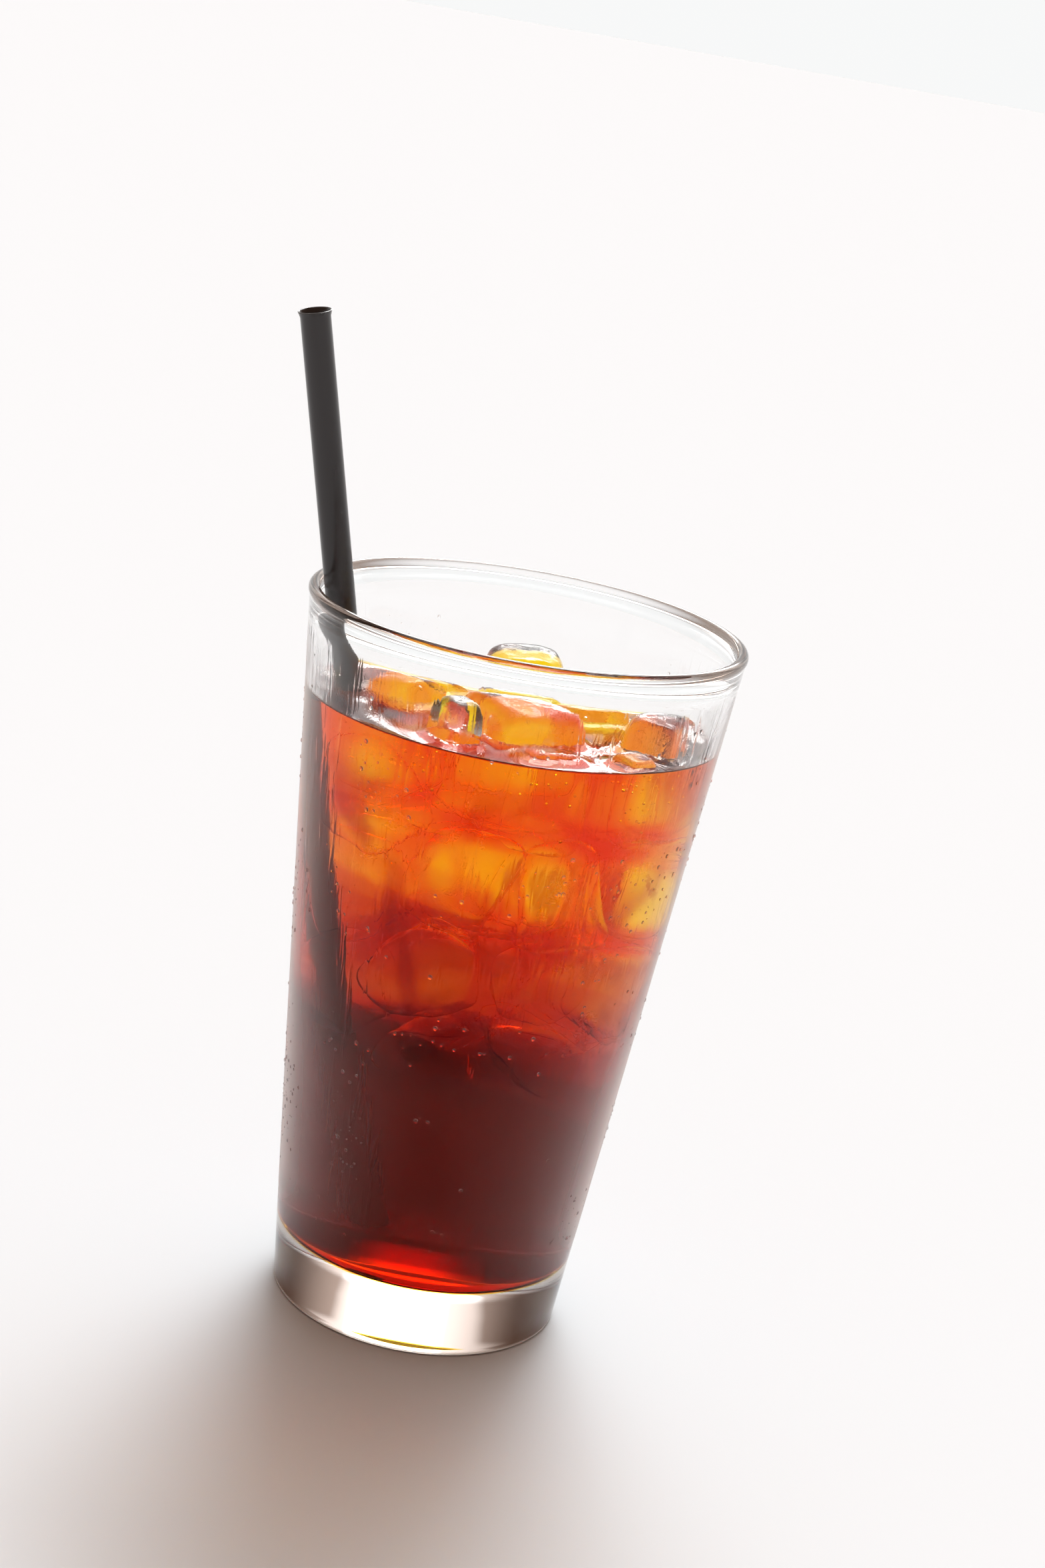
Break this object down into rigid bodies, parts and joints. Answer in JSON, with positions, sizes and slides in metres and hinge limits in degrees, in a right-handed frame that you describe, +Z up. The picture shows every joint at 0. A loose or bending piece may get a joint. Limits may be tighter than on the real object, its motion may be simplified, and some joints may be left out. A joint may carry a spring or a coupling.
{
  "type": "iced cold brew coffee in a glass",
  "caption": "Tall conical clear glass of dark iced coffee, with melting ice cubes at the surface and a black drinking straw leaning on the rim.",
  "frame": {"origin": "centre of the glass's flat underside, on the surface it stands on", "axes": "+Z up along the glass's axis; the straw leans towards -X; -Y faces the viewer"},
  "size_m": [0.0984, 0.089, 0.2036],
  "materials": {
    "glass": "polished clear soda-lime glass",
    "coffee": "clear dark amber-brown liquid",
    "ice": "wet clear ice with white cracks and small bubbles",
    "straw": "smooth black plastic"
  },
  "bodies": {
    "root": {"glass": "glass", "coffee": "coffee", "straw": "straw", "ice_centre": "ice", "ice_left": "ice", "ice_back_left": "ice", "ice_back": "ice", "ice_back_right": "ice", "ice_right": "ice", "ice_front_left": "ice", "ice_front": "ice", "ice_front_right": "ice"}
  },
  "joints": []
}
